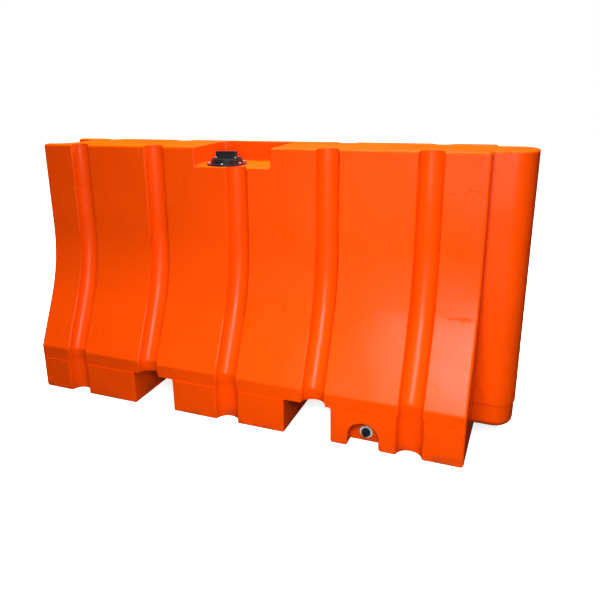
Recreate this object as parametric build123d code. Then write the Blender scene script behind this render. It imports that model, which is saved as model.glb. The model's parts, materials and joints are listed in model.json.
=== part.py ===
from build123d import *
import math
import os

# Water-filled traffic barrier: one hollow rotomoulded shell, its fill fitting and its drain fitting.
# Frame: millimetres, +Z up, +X along the barrier towards the interlocking tongue, -Y the front.
# Origin: on the floor, under the centre of the barrier's main body.

# ---- main body -------------------------------------------------------------------------------
BODY_LENGTH = 1829.0
HEIGHT = 1067.0
WALL = 9.0
FOOT_HALF_WIDTH = 303.0
BREAK_HALF_WIDTH = 305.0
BREAK_HEIGHT = 198.0
TOP_HALF_WIDTH = 140.0
FLARE_ANGLE = 25.3
WAIST_RADIUS = 726.0
BREAK_RADIUS = 24.0
FOOT_EDGE_RADIUS = 6.0
TOP_EDGE_RADIUS = 11.0
END_RADIUS = 10.0
BAND_LOW = 140.0
BAND_STEP = 1.2

# ---- flutes down both sides --------------------------------------------------------------------
FLUTE_COUNT = 5
FLUTE_PITCH = 362.0
FLUTE_RADIUS = 42.0
FLUTE_DEPTH = 41.0
FLUTE_LIP = 8.0
FLUTE_END = 152.0
SHORT_FLUTE_TOP = 950.0
FLUTE_BEND = 62.0
GROOVE_RADIUS = 47.0
GROOVE_DEPTH = 47.0
LIP_RISE = 0.3

# ---- forklift openings -------------------------------------------------------------------------
FORK_INNER = 245.0
FORK_WIDTH = 187.0
FORK_CEILING = 142.0
FORK_CORNER = 8.0
FORK_LIP = 5.0

# ---- interlock: tongue at +X, pocket at -X -----------------------------------------------------
TONGUE_HALF_WIDTH = 93.0
TONGUE_REACH = 140.0
TONGUE_CORNER = 75.0
TONGUE_DROP = 1.0
TONGUE_RING = 152.0
TONGUE_STEP = 4.0
TONGUE_BOTTOM = 60.0
TONGUE_TOE_RADIUS = 28.0
TONGUE_TOP_RADIUS = 7.0
POCKET_PLAY = 4.0
POCKET_DEPTH = 104.0
POCKET_SILL = 45.0
POCKET_LIP = 9.0

# ---- fill recess in the top --------------------------------------------------------------------
RECESS_LEFT = -178.0
RECESS_RIGHT = 140.0
RECESS_BACK = 110.0
RECESS_DEPTH = 75.0
RECESS_CORNER = 34.0
RECESS_FILLET = 9.0
RECESS_LIP = 6.0

# ---- fill fitting ------------------------------------------------------------------------------
FILL_X = -80.0
FILL_Y = -52.0
GASKET_RADIUS = 75.0
GASKET_THICKNESS = 2.0
FLANGE_RADIUS = 79.0
FLANGE_THICKNESS = 6.0
COLLAR_RADIUS = 63.0
COLLAR_TOP = 18.0
NECK_RADIUS = 62.0
NECK_BORE = 56.0
NECK_DEPTH = 38.0
LUG_COUNT = 3
LUG_SPAN = 40.0
LUG_INNER = 51.2
LUG_TOP = -6.0
LUG_HEIGHT = 6.0
LOCK_TURN = 60.0
SCREW_COUNT = 6
SCREW_CIRCLE = 71.0
SCREW_START = -19.3
SCREW_HEAD = 4.6
SCREW_RADIUS = 2.4
SCREW_LENGTH = 18.0
INSERT_RADIUS = 5.0
INSERT_LENGTH = 13.0
BOSS_RADIUS = 10.0
BOSS_DEPTH = 8.0
LID_GAP = 0.3
LID_RADIUS = 62.0
LID_THICKNESS = 6.0
SKIRT_RADIUS = 50.9
SKIRT_WALL = 4.0
SEAL_INNER = 57.6
SEAL_OUTER = 61.0
SEAL_HEIGHT = 2.5
GRIP_LENGTH = 88.0
GRIP_WIDTH = 20.0
GRIP_HEIGHT = 27.0
GRIP_TURN = 8.0
GRIP_BASE = 3.0
GRIP_BASE_LENGTH = 90.0
GRIP_BASE_WIDTH = 42.0
GRIP_BASE_CORNER = 6.0
GRIP_SCREW_X = 39.0
GRIP_SCREW_Y = 15.0
GRIP_SCREW_RADIUS = 2.0
GRIP_SCREW_LENGTH = 8.0
GRIP_SCREW_BITE = 5.3
GRIP_SCOOP = 4.0
GRIP_SCOOP_LENGTH = 63.0
NECK_PLAY = 0.5
SCREW_PLAY = 0.1
SEAL_PLAY = 0.2
RIM_CHAMFER = 1.0
STOP_SPAN = 8.0
STOP_PLAY = 2.0
PAN_HEIGHT = 0.7
PAN_ROUND = 0.35
CROSS_LENGTH = 1.1
CROSS_WIDTH = 0.24
CROSS_DEPTH = 0.5
SCREW_SCATTER = 25.0
LID_LUG_SPAN = 38.0
LID_SKIRT_MARGIN = 2.0
LID_RIM_OUTER = 58.0
LID_RIM_INNER = 55.0
LID_RIM_HEIGHT = 1.5
RIB_COUNT = 24
RIB_START = 7.5
RIB_LENGTH = 6.0
RIB_WIDTH = 3.0
RIB_CIRCLE = 51.0

# ---- drain alcove ------------------------------------------------------------------------------
ALCOVE_X = 556.0
ALCOVE_HALF_WIDTH = 58.0
ALCOVE_SPRING = 42.0
ALCOVE_DEPTH = 58.0
ALCOVE_TOE = 12.0
ALCOVE_LIP = 4.0

# ---- embossed mark on the left foot ------------------------------------------------------------
MARK_X = -890.0
MARK_Z = 39.0
MARK_OUTER = 12.0
MARK_INNER = 8.0
MARK_RELIEF = 1.5

# ---- drain fitting -----------------------------------------------------------------------------
DRAIN_Z = 40.0
DRAIN_FLANGE_RADIUS = 25.0
DRAIN_FLANGE_THICKNESS = 4.0
DRAIN_NECK_RADIUS = 18.0
DRAIN_NECK_LENGTH = 25.0
DRAIN_BORE = 13.0
DRAIN_BOSS_RADIUS = 24.0
DRAIN_BOSS_DEPTH = 12.0
PLUG_CLEARANCE = 0.1
PLUG_SHANK_LENGTH = 24.0
PLUG_HEAD_RADIUS = 17.0
PLUG_HEAD_THICKNESS = 5.0
PLUG_SQUARE = 20.0
PLUG_SQUARE_LENGTH = 13.0
PLUG_ROUND = 1.5
PLUG_TURN = 45.0
PLUG_RECESS_RADIUS = 5.9
PLUG_RECESS_FLOOR = 3.0
DRAIN_SEAL_INNER = 13.4
DRAIN_SEAL_OUTER = 16.5
DRAIN_SEAL_THICKNESS = 2.0

HALF_LENGTH = BODY_LENGTH / 2
RECESS_FLOOR = HEIGHT - RECESS_DEPTH
REACH = 40.0  # how far cutting tools run past the surfaces that they cut
TOUCH = 0.01  # distance below which two things count as touching
FUSE = 1.0  # how far shapes that are joined into one solid run into each other
LEDGE_OVERLAP = 4.0


def mirrored(tool):
    """The tool together with its copy on the other long side."""
    return [tool, mirror(tool, about=Plane.XZ)]


# ---- the barrier's end view --------------------------------------------------------------------
def waist_height():
    """Height at which the flare's straight line would meet the upright upper wall."""
    return BREAK_HEIGHT + (BREAK_HALF_WIDTH - TOP_HALF_WIDTH) / math.tan(math.radians(FLARE_ANGLE))


def end_view():
    """Outline of the main body seen from the end, as a face in the YZ plane."""
    side = [
        (FOOT_HALF_WIDTH, 0),
        (BREAK_HALF_WIDTH, BREAK_HEIGHT),
        (TOP_HALF_WIDTH, waist_height()),
        (TOP_HALF_WIDTH, HEIGHT),
    ]
    radii = [FOOT_EDGE_RADIUS, BREAK_RADIUS, WAIST_RADIUS, TOP_EDGE_RADIUS]
    points = side + [(-y, z) for y, z in reversed(side)]
    outline = FilletPolyline(*points, radius=radii + radii[::-1], close=True)
    return Plane.YZ * make_face(outline)


def main_block(inset):
    """The main body before anything is cut from it, shrunk by the inset on every side."""
    face = end_view()
    if inset:
        face = offset(face, amount=-inset)
    length = BODY_LENGTH - 2 * inset
    block = extrude(face, amount=length / 2, both=True)
    if inset:
        return block
    ends = block.faces().sort_by(Axis.X)
    rims = ends[0].edges() + ends[-1].edges()
    return fillet(rims, radius=END_RADIUS)


def on_surface(edge, solid):
    """Whether the edge's middle lies on the solid's skin."""
    middle = Vertex(edge.position_at(0.5))
    return any(face.distance_to(middle) < TOUCH for face in solid.faces())


def cut_with_lip(solid, tool, radius):
    """The solid minus the tool, with the seam between the two skins rounded."""
    result = solid - tool
    seam = [e for e in result.edges() if on_surface(e, solid) and on_surface(e, tool)]
    return fillet(seam, radius=radius)


# ---- cutting tools: each grows by the outset, so that the same tool shapes the cavity -------------
def fork_tool(side, outset):
    """One forklift opening: a channel from front to back with rounded upper corners."""
    width = FORK_WIDTH + 2 * outset
    ceiling = FORK_CEILING + outset
    section = Rectangle(width, 2 * ceiling)
    section = fillet(section.vertices().group_by(Axis.Y)[-1], radius=FORK_CORNER)
    centre = side * (FORK_INNER + FORK_WIDTH / 2)
    return Pos(centre, 0, 0) * extrude(Plane.XZ * section, amount=FOOT_HALF_WIDTH + REACH, both=True)


def plan_with_round_end(half_width, start, end, corner):
    """Plan view of a tongue: square at the start, round-cornered at the end, along X."""
    plan = Pos((start + end) / 2, 0) * Rectangle(abs(end - start), 2 * half_width)
    tip = plan.vertices().sort_by(Axis.X)
    corners = tip[-2:] if end > start else tip[:2]
    return fillet(corners, radius=corner)


def pocket_tool(outset):
    """The pocket that takes the next barrier's tongue, open at the top and at the end."""
    half_width = TONGUE_HALF_WIDTH + POCKET_PLAY + outset
    bottom = POCKET_SILL - outset
    corner = TONGUE_CORNER + POCKET_PLAY + outset
    inner_end = -HALF_LENGTH + POCKET_DEPTH + outset
    plan = plan_with_round_end(half_width, -HALF_LENGTH - REACH, inner_end, corner)
    tool = Pos(0, 0, bottom) * extrude(plan, amount=HEIGHT + REACH - bottom)
    return fillet(tool.faces().sort_by(Axis.Z)[0].edges(), radius=POCKET_LIP + outset)


def recess_tool(outset):
    """The fill recess: a shallow tray in the top, open to the front."""
    front = -TOP_HALF_WIDTH - REACH
    back = RECESS_BACK + outset
    width = RECESS_RIGHT - RECESS_LEFT + 2 * outset
    plan = Pos((RECESS_LEFT + RECESS_RIGHT) / 2, (front + back) / 2) * Rectangle(width, back - front)
    plan = fillet(plan.vertices().group_by(Axis.Y)[-1], radius=RECESS_CORNER + outset)
    tool = Pos(0, 0, RECESS_FLOOR - outset) * extrude(plan, amount=RECESS_DEPTH + outset + REACH)
    return fillet(tool.faces().sort_by(Axis.Z)[0].edges(), radius=RECESS_FILLET + outset)


def alcove_tool(outset):
    """The arched alcove round the drain, open to the front and at the floor."""
    radius = ALCOVE_HALF_WIDTH + outset
    stem = Rectangle(2 * radius, 2 * ALCOVE_SPRING)
    ground = Rectangle(2 * (radius + ALCOVE_TOE + FUSE), 2 * (ALCOVE_SPRING - LIP_RISE))
    section = Pos(0, ALCOVE_SPRING) * Circle(radius) + stem + Pos(0, -ALCOVE_SPRING) * ground
    corners = section.vertices().filter_by(lambda v: abs(abs(v.X) - radius) < TOUCH)
    section = fillet(corners.filter_by(lambda v: abs(v.Y + LIP_RISE) < TOUCH), radius=ALCOVE_TOE)
    depth = ALCOVE_DEPTH + outset + REACH
    front = Plane((ALCOVE_X, -FOOT_HALF_WIDTH - REACH, 0), x_dir=(1, 0, 0), z_dir=(0, -1, 0))
    return extrude(front * section, amount=-depth)


def lip_reach(radius, centre):
    """How far from its axis a round channel's lip meets the face."""
    return math.sqrt((radius + FLUTE_LIP) ** 2 - (centre + FLUTE_LIP - LIP_RISE) ** 2)


def channel_section(bore, depth, outset):
    """Cross-section of a round channel, with local +Y pointing out of the face."""
    radius = bore + outset
    centre = bore - depth
    half = radius if outset else lip_reach(radius, centre) + TOUCH
    low = 0 if outset else LIP_RISE
    slab = Pos(0, low + REACH / 4) * Rectangle(2 * half, REACH / 2)
    section = Pos(0, centre) * Circle(radius) + slab
    if outset:
        return section
    crossing = [v for v in section.vertices() if abs(v.Y - LIP_RISE) < TOUCH and abs(v.X) < radius + FUSE]
    return fillet(crossing, radius=FLUTE_LIP)


def band_half_width(z):
    """Half width of the band between the foot and the break line."""
    share = (z - BAND_LOW) / (BREAK_HEIGHT - BAND_LOW)
    low = FOOT_HALF_WIDTH - BAND_STEP
    return low + share * (BREAK_HALF_WIDTH - low)


def flute_tool(outset):
    """One flute's tool on the back face, with the deeper groove below its ledge."""
    start = (band_half_width(FLUTE_END), FLUTE_END)
    corner = (BREAK_HALF_WIDTH, BREAK_HEIGHT)
    waist = (TOP_HALF_WIDTH, waist_height())
    top = (TOP_HALF_WIDTH, HEIGHT + REACH)
    path = Plane.YZ * FilletPolyline(start, corner, waist, top, radius=[FLUTE_BEND, WAIST_RADIUS])
    rise = Vector(0, corner[0] - start[0], corner[1] - start[1])
    foot = Plane((0, *start), x_dir=(1, 0, 0), z_dir=rise)
    upper = sweep(foot * channel_section(FLUTE_RADIUS, FLUTE_DEPTH, outset), path=path)
    return upper + groove_tool(outset)


def groove_tool(outset):
    """The round groove in the foot under a flute, upright and deeper than the flute."""
    section = Pos(0, FOOT_HALF_WIDTH, -REACH) * channel_section(GROOVE_RADIUS, GROOVE_DEPTH, outset)
    return extrude(section, amount=FLUTE_END + REACH + outset / 2 + LEDGE_OVERLAP)


def band_step_tool():
    """A long thin wedge that leans the band in above a small ledge at the top of the foot."""
    outside = FOOT_HALF_WIDTH + REACH
    wedge = Polyline(
        (outside, BAND_LOW),
        (FOOT_HALF_WIDTH - BAND_STEP, BAND_LOW),
        (BREAK_HALF_WIDTH, BREAK_HEIGHT),
        (outside, BREAK_HEIGHT),
        close=True,
    )
    return extrude(Plane.YZ * make_face(wedge), amount=HALF_LENGTH + REACH, both=True)


def tongue(inset):
    """The upright tongue on the +X end, with a slightly slimmer toe below its ring line."""
    root = HALF_LENGTH - 2 * REACH
    tip = HALF_LENGTH + TONGUE_REACH - inset
    half_width = TONGUE_HALF_WIDTH - inset
    corner = TONGUE_CORNER - inset
    top = HEIGHT - TONGUE_DROP - inset
    bottom = TONGUE_BOTTOM + inset
    plan = plan_with_round_end(half_width, root, tip, corner)
    toe_plan = plan_with_round_end(half_width - TONGUE_STEP, root, tip - TONGUE_STEP, corner - TONGUE_STEP)
    column = Pos(0, 0, TONGUE_RING) * extrude(plan, amount=top - TONGUE_RING)
    toe = Pos(0, 0, bottom) * extrude(toe_plan, amount=TONGUE_RING - bottom)
    if not inset:
        column = fillet(column.faces().sort_by(Axis.Z)[-1].edges(), radius=TONGUE_TOP_RADIUS)
        column = fillet(column.faces().sort_by(Axis.Z)[0].edges(), radius=TONGUE_STEP / 2)
    toe = fillet(toe.faces().sort_by(Axis.Z)[0].edges(), radius=TONGUE_TOE_RADIUS - inset)
    return column + toe


# ---- the shell -------------------------------------------------------------------------------------
def short_flute_tool(outset):
    """The central back flute's tool, which stops under the fill recess."""
    top = SHORT_FLUTE_TOP + outset
    keep = Pos(0, BREAK_HALF_WIDTH, top - HEIGHT) * Box(FLUTE_PITCH, 2 * BREAK_HALF_WIDTH, 2 * HEIGHT)
    return flute_tool(outset) & keep


def flute_tools(outset):
    """The tools of all the flutes: five in front, five behind with the central one short."""
    tool = flute_tool(outset)
    middle = (FLUTE_COUNT - 1) / 2
    spots = [(k - middle) * FLUTE_PITCH for k in range(FLUTE_COUNT)]
    front = [Pos(x, 0, 0) * mirror(tool, about=Plane.XZ) for x in spots]
    back = [Pos(x, 0, 0) * tool for x in spots if x != 0]
    return front + back + [short_flute_tool(outset)]


def outer_form():
    """The barrier's outside as one closed solid with rounded edges."""
    form = main_block(0)
    for side in (-1, 1):
        form = cut_with_lip(form, fork_tool(side, 0), FORK_LIP)
    form = cut_with_lip(form, pocket_tool(0), POCKET_LIP)
    form = cut_with_lip(form, recess_tool(0), RECESS_LIP)
    form = cut_with_lip(form, alcove_tool(0), ALCOVE_LIP)
    form = form + tongue(0)
    return form - mirrored(band_step_tool()) - flute_tools(0)


def cavity():
    """The water space: the outside's shape drawn in by the wall's thickness."""
    tools = [fork_tool(side, WALL) for side in (-1, 1)]
    tools += [pocket_tool(WALL), recess_tool(WALL), alcove_tool(WALL)]
    return main_block(WALL) - tools - flute_tools(WALL) + tongue(WALL)


def on_fill_axis(shape):
    """Moves a fitting modelled round the Z axis onto the recess floor at the fill opening."""
    return Pos(FILL_X, FILL_Y, RECESS_FLOOR) * shape


def on_drain_axis(shape):
    """Turns a fitting modelled outwards along +Z to point out of the alcove's back wall."""
    seat = Plane((ALCOVE_X, -FOOT_HALF_WIDTH + ALCOVE_DEPTH, DRAIN_Z), x_dir=(1, 0, 0), z_dir=(0, -1, 0))
    return seat * shape


def around(count, start, radius, shape):
    """Copies of a shape spaced evenly round the Z axis."""
    return [Rot(0, 0, start + 360 * k / count) * Pos(radius, 0, 0) * shape for k in range(count)]


def ring(outer, inner, low, high):
    """A plain ring round the Z axis between two heights."""
    return Pos(0, 0, low) * extrude(Circle(outer) - Circle(inner), amount=high - low)


def disc(radius, low, high):
    """A plain disc round the Z axis between two heights."""
    return Pos(0, 0, low) * extrude(Circle(radius), amount=high - low)


def sector(outer, inner, low, high, span):
    """Part of a ring, centred on +X and spanning the given angle."""
    half = math.radians(span / 2)
    across = 2 * outer * math.cos(half)
    aside = 2 * outer * math.sin(half)
    wedge = make_face(Polyline((0, 0), (across, -aside), (across, aside), close=True))
    return Pos(0, 0, low) * extrude((Circle(outer) - Circle(inner)) & wedge, amount=high - low)


def moulded_marks():
    """The small embossed ring low on the left foot's front."""
    mark = extrude(Circle(MARK_OUTER) - Circle(MARK_INNER), amount=2 * MARK_RELIEF)
    seat = Plane((MARK_X, -FOOT_HALF_WIDTH - MARK_RELIEF, MARK_Z), x_dir=(1, 0, 0), z_dir=(0, 1, 0))
    return seat * mark


def barrier_shell():
    """The hollow shell, opened at the fill neck and at the drain."""
    shell = outer_form() + moulded_marks() - cavity()
    insert_boss = disc(BOSS_RADIUS, -WALL - BOSS_DEPTH, -WALL / 2)
    bosses = around(SCREW_COUNT, SCREW_START, SCREW_CIRCLE, insert_boss)
    shell = shell + [on_fill_axis(b) for b in bosses]
    shell = shell + on_drain_axis(disc(DRAIN_BOSS_RADIUS, -WALL - DRAIN_BOSS_DEPTH, -WALL / 2))
    holes = [on_fill_axis(disc(NECK_RADIUS + NECK_PLAY, -REACH, REACH))]
    holes += [on_fill_axis(h) for h in insert_bodies()]
    holes.append(on_drain_axis(disc(DRAIN_NECK_RADIUS, -REACH, ALCOVE_DEPTH / 2)))
    return shell - holes


# ---- fill fitting ----------------------------------------------------------------------------------
def insert_bodies():
    """The six-sided outsides of the threaded inserts, flush with the recess floor."""
    body = Pos(0, 0, -INSERT_LENGTH) * extrude(RegularPolygon(INSERT_RADIUS, 6), amount=INSERT_LENGTH)
    return around(SCREW_COUNT, SCREW_START, SCREW_CIRCLE, body)


def screw_holes(low, high):
    """Clearance holes for the flange screws between two heights."""
    return around(SCREW_COUNT, SCREW_START, SCREW_CIRCLE, disc(SCREW_RADIUS + SCREW_PLAY, low, high))


def fill_ring_inserts():
    """Brass threaded inserts moulded into the recess floor, one under each flange screw."""
    bores = screw_holes(-INSERT_LENGTH, 0)
    return [on_fill_axis(body - bore) for body, bore in zip(insert_bodies(), bores)]


def fill_ring_gasket():
    """Flat gasket between the flange and the recess floor."""
    sheet = ring(GASKET_RADIUS, NECK_RADIUS + NECK_PLAY, 0, GASKET_THICKNESS)
    return on_fill_axis(sheet - screw_holes(0, GASKET_THICKNESS))


def ring_lugs():
    """Three lugs inside the neck, and beside each the stop that ends the lid's clockwise turn."""
    lug = sector(NECK_BORE + FUSE, LUG_INNER, LUG_TOP - LUG_HEIGHT, LUG_TOP, LUG_SPAN)
    stop = sector(NECK_BORE + FUSE, LUG_INNER, LUG_TOP - 2 * LUG_HEIGHT, LUG_TOP, STOP_SPAN)
    stop_angle = LOCK_TURN + LUG_SPAN / 2 + STOP_SPAN / 2 + STOP_PLAY
    lugs = around(LUG_COUNT, 180 / LUG_COUNT, 0, lug)
    return lugs + around(LUG_COUNT, -stop_angle, 0, stop)


def fill_ring():
    """Flanged collar and neck of the fill opening, with the bayonet lugs inside."""
    flange_top = GASKET_THICKNESS + FLANGE_THICKNESS
    flange = disc(FLANGE_RADIUS, GASKET_THICKNESS, flange_top)
    flange = fillet(flange.edges().sort_by(Axis.Z)[-1], radius=FLANGE_THICKNESS / 3)
    collar = disc(COLLAR_RADIUS, flange_top - FUSE, COLLAR_TOP)
    neck = disc(NECK_RADIUS, -NECK_DEPTH, GASKET_THICKNESS + FUSE)
    body = flange + collar + neck - disc(NECK_BORE, -NECK_DEPTH, COLLAR_TOP)
    body = body - screw_holes(0, flange_top)
    rims = body.edges().filter_by(lambda e: abs(e.center().Z - COLLAR_TOP) < TOUCH)
    body = chamfer(rims, length=RIM_CHAMFER)
    return on_fill_axis(body + ring_lugs())


def pan_screw(head_radius, radius, length):
    """Pan-head screw standing on z = 0, with a cross recess."""
    height = head_radius * PAN_HEIGHT
    head = disc(head_radius, 0, height)
    head = fillet(head.edges().sort_by(Axis.Z)[-1], radius=head_radius * PAN_ROUND)
    slot = Box(head_radius * CROSS_LENGTH, head_radius * CROSS_WIDTH, height * 2 * CROSS_DEPTH)
    cross = slot + Rot(0, 0, 90) * slot
    shank = disc(radius, -length, FUSE)
    shank = chamfer(shank.edges().sort_by(Axis.Z)[0], length=radius / 3)
    return head + shank - Pos(0, 0, height) * cross


def fill_ring_screws():
    """Six stainless pan-head screws round the flange, each turned its own way."""
    screw = pan_screw(SCREW_HEAD, SCREW_RADIUS, SCREW_LENGTH)
    seat = GASKET_THICKNESS + FLANGE_THICKNESS
    placed = []
    for k in range(SCREW_COUNT):
        turned = Pos(SCREW_CIRCLE, 0, seat) * Rot(0, 0, SCREW_SCATTER * k) * screw
        placed.append(on_fill_axis(Rot(0, 0, SCREW_START + 360 * k / SCREW_COUNT) * turned))
    return placed


def lid_top():
    """Height of the lid's upper face above the recess floor."""
    return COLLAR_TOP + LID_GAP + LID_THICKNESS


def lid_lugs():
    """The lid's three lugs, which sit between the neck's lugs while the lid is unlocked."""
    high = LUG_TOP - LUG_HEIGHT - LID_GAP
    lug = sector(NECK_BORE - LID_GAP, SKIRT_RADIUS - FUSE, high - LUG_HEIGHT, high, LID_LUG_SPAN)
    return around(LUG_COUNT, -GRIP_TURN, 0, lug)


def lid_ribs():
    """Short radial ribs inside the lid's raised rim."""
    rib = Box(RIB_LENGTH, RIB_WIDTH, 2 * LID_RIM_HEIGHT)
    return [Pos(0, 0, lid_top()) * r for r in around(RIB_COUNT, RIB_START, RIB_CIRCLE, rib)]


def fill_lid():
    """Twist-lock lid: a ribbed disc with a raised rim, a skirt and three bayonet lugs."""
    low = COLLAR_TOP + LID_GAP
    plate = disc(LID_RADIUS, low, lid_top())
    plate = fillet(plate.edges().sort_by(Axis.Z)[-1], radius=LID_THICKNESS / 3)
    rim = ring(LID_RIM_OUTER, LID_RIM_INNER, lid_top() - FUSE, lid_top() + LID_RIM_HEIGHT)
    skirt_low = LUG_TOP - 2 * LUG_HEIGHT - LID_SKIRT_MARGIN
    skirt = ring(SKIRT_RADIUS, SKIRT_RADIUS - SKIRT_WALL, skirt_low, low + FUSE)
    seal_high = COLLAR_TOP + SEAL_HEIGHT + SEAL_PLAY
    groove = ring(SEAL_OUTER + SEAL_PLAY, SEAL_INNER - SEAL_PLAY, low - FUSE, seal_high)
    body = plate + rim + skirt - groove
    body = body + lid_lugs() + lid_ribs()
    hole = disc(GRIP_SCREW_RADIUS + SCREW_PLAY / 2, lid_top() - GRIP_SCREW_BITE, lid_top() + FUSE)
    return on_lid_turn(body - at_grip_screws(hole))


def lid_seal():
    """Ring seal between the lid and the collar."""
    seal = ring(SEAL_OUTER, SEAL_INNER, COLLAR_TOP, COLLAR_TOP + SEAL_HEIGHT)
    seal = fillet(seal.edges().filter_by(GeomType.CIRCLE), radius=SEAL_HEIGHT / 4)
    return on_fill_axis(seal)


def on_lid_turn(shape):
    """Turns a piece of the lid to its rest angle and moves it onto the fill opening."""
    return on_fill_axis(Rot(0, 0, GRIP_TURN) * shape)


def at_grip_screws(shape):
    """Copies of a shape at the grip's four screws."""
    return [Pos(sx * GRIP_SCREW_X, sy * GRIP_SCREW_Y, 0) * shape for sx in (-1, 1) for sy in (-1, 1)]


def grip_bar():
    """The upright bar of the grip, scooped on both sides for the fingers."""
    bar = Pos(0, 0, lid_top() + GRIP_HEIGHT / 2) * Box(GRIP_LENGTH, GRIP_WIDTH, GRIP_HEIGHT)
    bar = fillet(bar.edges().filter_by(Axis.Z), radius=GRIP_WIDTH / 4)
    bar = fillet(bar.faces().sort_by(Axis.Z)[-1].edges(), radius=GRIP_WIDTH / 6)
    scoop = Cylinder(GRIP_HEIGHT, GRIP_SCOOP_LENGTH, rotation=(0, 90, 0))
    aside = GRIP_WIDTH / 2 + GRIP_HEIGHT - GRIP_SCOOP
    middle = lid_top() + GRIP_BASE + GRIP_HEIGHT / 2
    return bar - [Pos(0, side * aside, middle) * scoop for side in (-1, 1)]


def lid_grip():
    """Bar grip across the lid, standing on a screwed base."""
    base = RectangleRounded(GRIP_BASE_LENGTH, GRIP_BASE_WIDTH, GRIP_BASE_CORNER)
    base = Pos(0, 0, lid_top()) * extrude(base, amount=GRIP_BASE)
    base = chamfer(base.faces().sort_by(Axis.Z)[-1].edges(), length=RIM_CHAMFER)
    hole = disc(GRIP_SCREW_RADIUS + SCREW_PLAY, lid_top(), lid_top() + GRIP_BASE + FUSE)
    return on_lid_turn(base + grip_bar() - at_grip_screws(hole))


def lid_grip_screws():
    """Four small pan-head screws that hold the grip to the lid."""
    screw = pan_screw(2 * GRIP_SCREW_RADIUS, GRIP_SCREW_RADIUS, GRIP_SCREW_LENGTH)
    placed = at_grip_screws(Pos(0, 0, lid_top() + GRIP_BASE) * screw)
    return [on_lid_turn(s) for s in placed]


# ---- drain fitting ---------------------------------------------------------------------------------
def drain_insert():
    """Light-alloy threaded insert moulded into the alcove's back wall, with a round flange."""
    flange = disc(DRAIN_FLANGE_RADIUS, 0, DRAIN_FLANGE_THICKNESS)
    flange = chamfer(flange.edges().sort_by(Axis.Z)[-1], length=RIM_CHAMFER)
    body = flange + disc(DRAIN_NECK_RADIUS, -DRAIN_NECK_LENGTH, FUSE)
    return on_drain_axis(body - disc(DRAIN_BORE, -DRAIN_NECK_LENGTH, DRAIN_FLANGE_THICKNESS))


def drain_seal():
    """Flat seal under the drain plug's head."""
    low = DRAIN_FLANGE_THICKNESS
    return on_drain_axis(ring(DRAIN_SEAL_OUTER, DRAIN_SEAL_INNER, low, low + DRAIN_SEAL_THICKNESS))


def drain_plug():
    """Screw plug with a round head and a hollow square drive."""
    seat = DRAIN_FLANGE_THICKNESS + DRAIN_SEAL_THICKNESS
    shank = disc(DRAIN_BORE - PLUG_CLEARANCE, seat - PLUG_SHANK_LENGTH, seat + FUSE)
    shank = chamfer(shank.edges().sort_by(Axis.Z)[0], length=PLUG_ROUND)
    face = seat + PLUG_HEAD_THICKNESS
    head = disc(PLUG_HEAD_RADIUS, seat, face)
    head = fillet(head.edges().sort_by(Axis.Z)[-1], radius=PLUG_ROUND)
    square = RectangleRounded(PLUG_SQUARE, PLUG_SQUARE, PLUG_ROUND)
    drive = Pos(0, 0, face - FUSE) * extrude(square, amount=PLUG_SQUARE_LENGTH + FUSE)
    drive = chamfer(drive.faces().sort_by(Axis.Z)[-1].edges(), length=RIM_CHAMFER)
    recess = disc(PLUG_RECESS_RADIUS, face + PLUG_RECESS_FLOOR, face + PLUG_SQUARE_LENGTH)
    return on_drain_axis(shank + head + Rot(0, 0, PLUG_TURN) * drive - recess)


NODES = {
    "barrier_shell": barrier_shell,
    "fill_ring_inserts": fill_ring_inserts,
    "fill_ring_gasket": fill_ring_gasket,
    "fill_ring": fill_ring,
    "fill_ring_screws": fill_ring_screws,
    "fill_lid": fill_lid,
    "lid_seal": lid_seal,
    "lid_grip": lid_grip,
    "lid_grip_screws": lid_grip_screws,
    "drain_insert": drain_insert,
    "drain_seal": drain_seal,
    "drain_plug": drain_plug,
}


def main():
    """Writes one STEP file for each node."""
    os.makedirs("parts", exist_ok=True)
    for name, make in NODES.items():
        made = make()
        shape = Compound(children=list(made)) if isinstance(made, list) else made
        export_step(shape, f"parts/{name}.step")


main()
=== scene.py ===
import json
import math
import bmesh
import bpy
from mathutils import Matrix, Vector

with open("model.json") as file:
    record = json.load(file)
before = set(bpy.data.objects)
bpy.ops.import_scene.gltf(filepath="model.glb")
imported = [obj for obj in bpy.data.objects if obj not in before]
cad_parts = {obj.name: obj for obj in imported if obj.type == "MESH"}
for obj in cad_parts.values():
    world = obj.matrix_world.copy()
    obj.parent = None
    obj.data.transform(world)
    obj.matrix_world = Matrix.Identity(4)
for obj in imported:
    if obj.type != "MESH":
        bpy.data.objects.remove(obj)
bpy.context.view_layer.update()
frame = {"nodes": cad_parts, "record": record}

# ---- the camera and the studio, in metres --------------------------------------------------------
CAMERA_PLACE = (1.0744, -2.3689, 1.3129)
CAMERA_YAW = 0.4201
CAMERA_PITCH = 0.3045
CAMERA_ROLL = -0.0259
CAMERA_LENS = 38.932
CAMERA_SHIFT = (0.0704, -0.0295)
FLOOR_SIZE = 24.0
FLOOR_ALBEDO = 0.9
FLOOR_TONE = 0.01
FLOOR_GLOW = 0.75
SKY_SEEN = 1.0
SKY_LIGHT = 0.01

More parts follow.
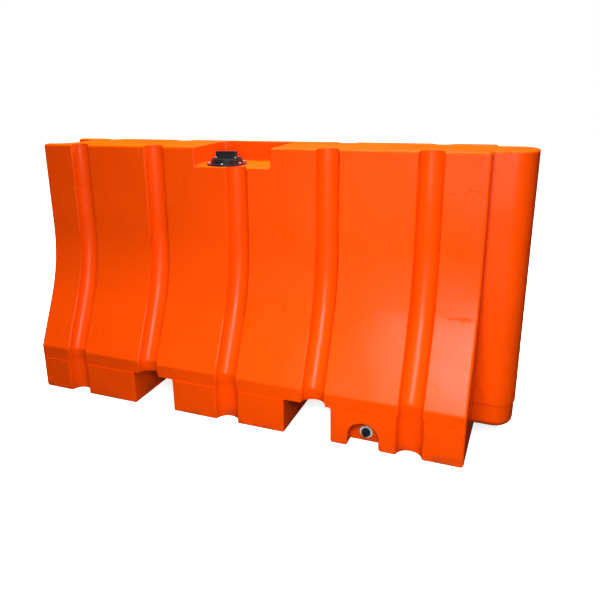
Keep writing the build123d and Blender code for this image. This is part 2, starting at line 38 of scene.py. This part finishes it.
# name: (place, point it faces, width, height, power in watts)
SOFT_LIGHTS = {
    "key_soft": ((1.3, -3.1, 1.6), (0.3, -0.15, 0.5), 0.4, 1.2, 15.4),
    "near_right_soft": ((0.7, -1.7, 1.1), (0.5, -0.28, 0.15), 0.6, 0.4, 23.3),
    "near_slope_soft": ((0.85, -1.5, 1.5), (0.55, -0.25, 0.25), 0.5, 0.5, 2.3),
    "foot_soft": ((-0.2, -3.6, 0.35), (0.0, -0.3, 0.1), 2.2, 0.4, 6.3),
    "high_back_soft": ((-0.2, 1.7, 4.4), (0.0, 0.0, 1.0), 3.0, 1.0, 682.0),
}
SHINE_LIGHTS = {
    "key_shine": ((1.3, -3.1, 1.6), (0.3, -0.15, 0.5), 0.4, 1.2, 29.5),
    "back_shine": ((-0.5, 2.8, 3.4), (0.0, 0.0, 0.4), 3.0, 1.6, 9.5),
}
OVERHEAD_STRENGTH = 2.73
OVERHEAD_SOFTNESS = math.radians(60)
OVERHEAD_LEAN = (math.radians(18), math.radians(8), 0.0)

# ---- colours and finishes ------------------------------------------------------------------------
ORANGE = (0.93, 0.072, 0.0003)
ORANGE_DEEP = (0.90, 0.067, 0.0003)
ORANGE_RUBBED = (1.0, 0.20, 0.06)
# Brown mixed into the lowest few centimetres, darker towards the bottom.
BOTTOM_BROWN = (0.16, 0.045, 0.015)
BLACK = (0.014, 0.014, 0.016)
BLACK_DUSTY = (0.07, 0.062, 0.055)

# Handling marks on the front: start (x, z), end (x, z) and half width, in metres.
FRONT_SCARS = (
    ((0.783, 0.921), (0.806, 0.921), 0.004),
    ((0.832, 0.926), (0.859, 0.938), 0.004),
    ((0.859, 0.938), (0.888, 0.933), 0.004),
    ((0.802, 0.498), (0.902, 0.498), 0.006),
    ((0.925, 1.062), (0.979, 1.062), 0.005),
)
FRONT_SCUFFS = (
    ((0.780, 0.249), (0.780, 0.276), 0.004),
    ((0.793, 0.246), (0.795, 0.274), 0.004),
    ((0.806, 0.251), (0.806, 0.279), 0.004),
)
FRONT_EDGE = -0.08
SCAR_DEPTH = 0.0018

# How strongly wear changes the moulding's colour and gloss; how strong the brown darkening at the
# bottom is, and how high it reaches.
WORN_COLOUR = 0.45
WORN_ROUGHNESS = 0.2
BOTTOM_DARKENING = 0.5
BOTTOM_REACH = 0.05


# ---- small helpers for node trees ----------------------------------------------------------------
def new_material(name):
    """An empty principled material: the material, its tree and its shader."""
    material = bpy.data.materials.new(name)
    material.use_nodes = True
    tree = material.node_tree
    return material, tree, tree.nodes["Principled BSDF"]


def feed(tree, socket, value):
    """Links a socket to another, or sets its plain value."""
    if isinstance(value, bpy.types.NodeSocket):
        tree.links.new(value, socket)
    elif isinstance(value, tuple) and len(value) == 3 and socket.type == "RGBA":
        socket.default_value = (*value, 1.0)
    else:
        socket.default_value = value


def place(tree):
    """The position on the piece, in metres."""
    return tree.nodes.new("ShaderNodeTexCoord").outputs["Object"]


def stretched(tree, vector, scale, turn=(0.0, 0.0, 0.0)):
    """The position with its axes turned and stretched."""
    node = tree.nodes.new("ShaderNodeMapping")
    node.inputs["Scale"].default_value = scale
    node.inputs["Rotation"].default_value = turn
    feed(tree, node.inputs["Vector"], vector)
    return node.outputs["Vector"]


def noise(tree, vector, scale, detail=2.0, rough=0.5):
    """Soft noise between 0 and 1."""
    node = tree.nodes.new("ShaderNodeTexNoise")
    node.inputs["Scale"].default_value = scale
    node.inputs["Detail"].default_value = detail
    node.inputs["Roughness"].default_value = rough
    feed(tree, node.inputs["Vector"], vector)
    return node.outputs["Fac"]


def span(tree, value, low, high, to_low=0.0, to_high=1.0):
    """Maps a range smoothly onto another and clamps it."""
    node = tree.nodes.new("ShaderNodeMapRange")
    node.interpolation_type = "SMOOTHSTEP"
    feed(tree, node.inputs["Value"], value)
    node.inputs["From Min"].default_value = low
    node.inputs["From Max"].default_value = high
    node.inputs["To Min"].default_value = to_low
    node.inputs["To Max"].default_value = to_high
    return node.outputs["Result"]


def calc(tree, operation, a, b=0.0):
    """One arithmetic step."""
    node = tree.nodes.new("ShaderNodeMath")
    node.operation = operation
    feed(tree, node.inputs[0], a)
    feed(tree, node.inputs[1], b)
    return node.outputs[0]


def blend(tree, share, a, b):
    """Mixes two colours."""
    node = tree.nodes.new("ShaderNodeMix")
    node.data_type = "RGBA"
    feed(tree, node.inputs["Factor"], share)
    feed(tree, node.inputs["A"], a)
    feed(tree, node.inputs["B"], b)
    return node.outputs["Result"]


def measure(tree, vector, direction):
    """How far a vector reaches along a direction."""
    node = tree.nodes.new("ShaderNodeVectorMath")
    node.operation = "DOT_PRODUCT"
    feed(tree, node.inputs[0], vector)
    feed(tree, node.inputs[1], tuple(direction))
    return node.outputs["Value"]


def relief(tree, height, depth, under=None):
    """Bump of a given depth in metres, on top of another bump if one is given."""
    node = tree.nodes.new("ShaderNodeBump")
    node.inputs["Distance"].default_value = depth
    feed(tree, node.inputs["Height"], height)
    if under is not None:
        feed(tree, node.inputs["Normal"], under)
    return node.outputs["Normal"]


# ---- materials -----------------------------------------------------------------------------------
def scratches(tree, at, scale, patch_scale, low, high):
    """Fine scratches along one direction, gathered in patches."""
    lines = span(tree, noise(tree, stretched(tree, at, scale), 1.0, 3.0, 0.6), low, high)
    patches = span(tree, noise(tree, at, patch_scale, 2.0), 0.52, 0.66)
    return calc(tree, "MULTIPLY", lines, patches)


def stroke(tree, at, wobble, start, end, half_width):
    """One mark on the front: 1 along its middle, fading to 0 at its sides and ends."""
    run = Vector((end[0] - start[0], 0.0, end[1] - start[1]))
    along = run.normalized()
    aside = Vector((-along.z, 0.0, along.x))
    middle = Vector((start[0] + end[0], 0.0, start[1] + end[1])) / 2
    lengthways = calc(tree, "SUBTRACT", measure(tree, at, along), middle.dot(along))
    sideways = calc(tree, "SUBTRACT", measure(tree, at, aside), middle.dot(aside))
    sideways = calc(tree, "ADD", sideways, calc(tree, "MULTIPLY", wobble, half_width))
    ends = span(tree, calc(tree, "ABSOLUTE", lengthways), run.length / 2 + half_width, run.length / 4)
    sides = span(tree, calc(tree, "ABSOLUTE", sideways), half_width, 0.0)
    return calc(tree, "MULTIPLY", ends, sides)


def front_marks(tree, at, depth, marks):
    """All of a list's marks together, on the front only."""
    wobble = span(tree, noise(tree, at, 60.0, 2.0), 0.3, 0.7, -1.0, 1.0)
    total = 0.0
    for mark in marks:
        total = calc(tree, "MAXIMUM", stroke(tree, at, wobble, *mark), total)
    return calc(tree, "MULTIPLY", total, calc(tree, "LESS_THAN", depth, FRONT_EDGE))


def moulded_orange():
    """Rotomoulded polyethylene: soft waviness, a fine peel, scuffs, and a patchy brown darkening
    towards the bottom.
    """
    material, tree, shader = new_material("moulded_orange")
    at = place(tree)
    tone = span(tree, noise(tree, at, 1.4, 3.0), 0.35, 0.65)
    colour = blend(tree, tone, ORANGE_DEEP, ORANGE)
    upright = scratches(tree, at, (110.0, 110.0, 5.0), 2.3, 0.66, 0.74)
    level = scratches(tree, at, (5.0, 110.0, 150.0), 3.1, 0.68, 0.76)
    axes = tree.nodes.new("ShaderNodeSeparateXYZ")
    feed(tree, axes.inputs[0], at)
    scuffs = front_marks(tree, at, axes.outputs["Y"], FRONT_SCUFFS)
    worn = calc(tree, "MAXIMUM", calc(tree, "MAXIMUM", upright, level), scuffs)
    colour = blend(tree, calc(tree, "MULTIPLY", worn, WORN_COLOUR), colour, ORANGE_RUBBED)
    # Darker and browner towards the bottom, in noise patches, fading out a few centimetres up.
    low_down = span(tree, axes.outputs["Z"], BOTTOM_REACH, 0.0)
    bottom_patches = calc(tree, "MULTIPLY", low_down, span(tree, noise(tree, at, 14.0, 5.0), 0.4, 0.7))
    colour = blend(tree, calc(tree, "MULTIPLY", bottom_patches, BOTTOM_DARKENING), colour, BOTTOM_BROWN)
    feed(tree, shader.inputs["Base Color"], colour)
    gloss = span(tree, noise(tree, at, 6.0, 3.0), 0.3, 0.7, 0.27, 0.36)
    gloss = calc(tree, "ADD", gloss, calc(tree, "MULTIPLY", worn, WORN_ROUGHNESS))
    feed(tree, shader.inputs["Roughness"], gloss)
    shader.inputs["Specular IOR Level"].default_value = 0.4
    wave = relief(tree, noise(tree, at, 3.2, 1.0), 0.012)
    peel = relief(tree, noise(tree, at, 170.0, 2.0), 0.0004, wave)
    rubbed = relief(tree, calc(tree, "MULTIPLY", worn, -1.0), 0.0006, peel)
    dents = front_marks(tree, at, axes.outputs["Y"], FRONT_SCARS)
    scars = relief(tree, calc(tree, "MULTIPLY", dents, -1.0), SCAR_DEPTH, rubbed)
    feed(tree, shader.inputs["Normal"], scars)
    return material


def moulded_black(name, roughness):
    """Satin black moulded plastic with a fine grain and a little dust."""
    material, tree, shader = new_material(name)
    at = place(tree)
    dust = span(tree, noise(tree, at, 30.0, 5.0, 0.65), 0.5, 0.75, 0.0, 0.5)
    feed(tree, shader.inputs["Base Color"], blend(tree, dust, BLACK, BLACK_DUSTY))
    gloss = span(tree, noise(tree, at, 55.0, 3.0), 0.3, 0.7, roughness - 0.06, roughness + 0.08)
    feed(tree, shader.inputs["Roughness"], gloss)
    grain = relief(tree, noise(tree, at, 1400.0, 2.0), 0.00012)
    feed(tree, shader.inputs["Normal"], relief(tree, noise(tree, at, 60.0, 1.0), 0.0006, grain))
    return material


def rubber():
    """Matt black rubber."""
    material, tree, shader = new_material("seal_rubber")
    at = place(tree)
    tone = noise(tree, at, 90.0, 4.0)
    feed(tree, shader.inputs["Base Color"], blend(tree, tone, (0.02, 0.02, 0.02), (0.045, 0.043, 0.04)))
    feed(tree, shader.inputs["Roughness"], span(tree, tone, 0.3, 0.7, 0.68, 0.85))
    feed(tree, shader.inputs["Normal"], relief(tree, noise(tree, at, 900.0, 2.0), 0.00015))
    return material


def bare_metal(name, colour, tarnish, roughness, polish):
    """Metal with fine machining haze and faint tarnish; a low polish is dull and oxidised."""
    material, tree, shader = new_material(name)
    at = place(tree)
    stain = span(tree, noise(tree, at, 120.0, 4.0), 0.45, 0.75)
    feed(tree, shader.inputs["Base Color"], blend(tree, stain, colour, tarnish))
    shader.inputs["Metallic"].default_value = polish
    gloss = span(tree, noise(tree, at, 260.0, 3.0), 0.3, 0.7, roughness - 0.05, roughness + 0.1)
    feed(tree, shader.inputs["Roughness"], gloss)
    feed(tree, shader.inputs["Normal"], relief(tree, noise(tree, at, 1800.0, 2.0), 0.00004))
    return material


def pale_floor():
    """Matt off-white studio floor with a faint tooth."""
    material, tree, shader = new_material("pale_floor")
    at = place(tree)
    tone = noise(tree, at, 3.0, 4.0)
    low = (FLOOR_ALBEDO - FLOOR_TONE,) * 3
    feed(tree, shader.inputs["Base Color"], blend(tree, tone, low, (FLOOR_ALBEDO,) * 3))
    shader.inputs["Roughness"].default_value = 0.85
    shader.inputs["Emission Color"].default_value = (1.0, 1.0, 1.0, 1.0)
    shader.inputs["Emission Strength"].default_value = FLOOR_GLOW
    return material


def paint_frame():
    """Gives each CAD node the finish of its material slot."""
    finishes = {
        "shell_orange": moulded_orange(),
        "fitting_black": moulded_black("fitting_black", 0.38),
        "seal_rubber": rubber(),
        "screw_steel": bare_metal("screw_steel", (0.78, 0.77, 0.75), (0.5, 0.49, 0.47), 0.26, 0.55),
        "insert_brass": bare_metal("insert_brass", (0.72, 0.52, 0.22), (0.45, 0.33, 0.15), 0.32, 0.7),
        "insert_alloy": bare_metal("insert_alloy", (0.86, 0.84, 0.83), (0.7, 0.68, 0.67), 0.36, 0.3),
        "plug_black": moulded_black("plug_black", 0.42),
    }
    for row in frame["record"]["subparts"]:
        node = frame["nodes"][row["node"]]
        node.data.materials.clear()
        node.data.materials.append(finishes[row["material_slot"]])


# ---- the studio ----------------------------------------------------------------------------------
def make_camera():
    """The camera, above and in front of the barrier's right-hand end."""
    ahead = Vector((
        -math.sin(CAMERA_YAW) * math.cos(CAMERA_PITCH),
        math.cos(CAMERA_YAW) * math.cos(CAMERA_PITCH),
        -math.sin(CAMERA_PITCH),
    ))
    right = Vector((math.cos(CAMERA_YAW), math.sin(CAMERA_YAW), 0.0))
    upward = right.cross(ahead)
    tilt = Matrix.Rotation(-CAMERA_ROLL, 3, ahead)
    right = tilt @ right
    upward = tilt @ upward
    data = bpy.data.cameras.new("camera")
    data.sensor_width = 36.0
    data.lens = CAMERA_LENS
    data.shift_x, data.shift_y = CAMERA_SHIFT
    data.clip_end = 100.0
    camera = bpy.data.objects.new("camera", data)
    turn = Matrix((right, upward, -ahead)).transposed().to_4x4()
    camera.matrix_world = Matrix.Translation(CAMERA_PLACE) @ turn
    bpy.context.scene.collection.objects.link(camera)
    bpy.context.scene.camera = camera


def make_light(name, place_at, faces, width, height, power):
    """One soft rectangular light that the camera doesn't see."""
    data = bpy.data.lights.new(name, "AREA")
    data.shape = "RECTANGLE"
    data.size = width
    data.size_y = height
    data.energy = power
    light = bpy.data.objects.new(name, data)
    light.location = place_at
    light.rotation_euler = (Vector(faces) - Vector(place_at)).to_track_quat("-Z", "Y").to_euler()
    light.visible_camera = False
    bpy.context.scene.collection.objects.link(light)
    return light


def make_lights():
    """The soft lights, which show in no reflection, and those seen only as reflections."""
    for name, settings in SOFT_LIGHTS.items():
        make_light(name, *settings).visible_glossy = False
    for name, settings in SHINE_LIGHTS.items():
        make_light(name, *settings).visible_diffuse = False


def make_overhead():
    """The soft light from above, even over the whole floor."""
    data = bpy.data.lights.new("overhead", "SUN")
    data.energy = OVERHEAD_STRENGTH
    data.angle = OVERHEAD_SOFTNESS
    light = bpy.data.objects.new("overhead", data)
    light.rotation_euler = OVERHEAD_LEAN
    light.visible_glossy = False
    bpy.context.scene.collection.objects.link(light)


def make_floor():
    """A large pale floor, which shows shadows; its glow still lights the object a little."""
    mesh = bpy.data.meshes.new("floor")
    form = bmesh.new()
    bmesh.ops.create_grid(form, x_segments=4, y_segments=4, size=FLOOR_SIZE / 2)
    form.to_mesh(mesh)
    form.free()
    floor = bpy.data.objects.new("floor", mesh)
    mesh.materials.append(pale_floor())
    floor.visible_diffuse = False
    floor.visible_glossy = False
    bpy.context.scene.collection.objects.link(floor)


def make_sky():
    """White behind the object, and a softer even light all round."""
    world = bpy.data.worlds.new("studio")
    world.use_nodes = True
    bpy.context.scene.world = world
    tree = world.node_tree
    tree.nodes.clear()
    seen = tree.nodes.new("ShaderNodeBackground")
    seen.inputs["Strength"].default_value = SKY_SEEN
    seen.inputs["Color"].default_value = (1.0, 1.0, 1.0, 1.0)
    lit = tree.nodes.new("ShaderNodeBackground")
    lit.inputs["Strength"].default_value = SKY_LIGHT
    lit.inputs["Color"].default_value = (1.0, 1.0, 1.0, 1.0)
    either = tree.nodes.new("ShaderNodeMixShader")
    feed(tree, either.inputs[0], tree.nodes.new("ShaderNodeLightPath").outputs["Is Camera Ray"])
    feed(tree, either.inputs[1], lit.outputs[0])
    feed(tree, either.inputs[2], seen.outputs[0])
    feed(tree, tree.nodes.new("ShaderNodeOutputWorld").inputs["Surface"], either.outputs[0])


make_camera()
paint_frame()
make_floor()
make_overhead()
make_sky()
make_lights()
bpy.context.scene.view_settings.view_transform = "Standard"
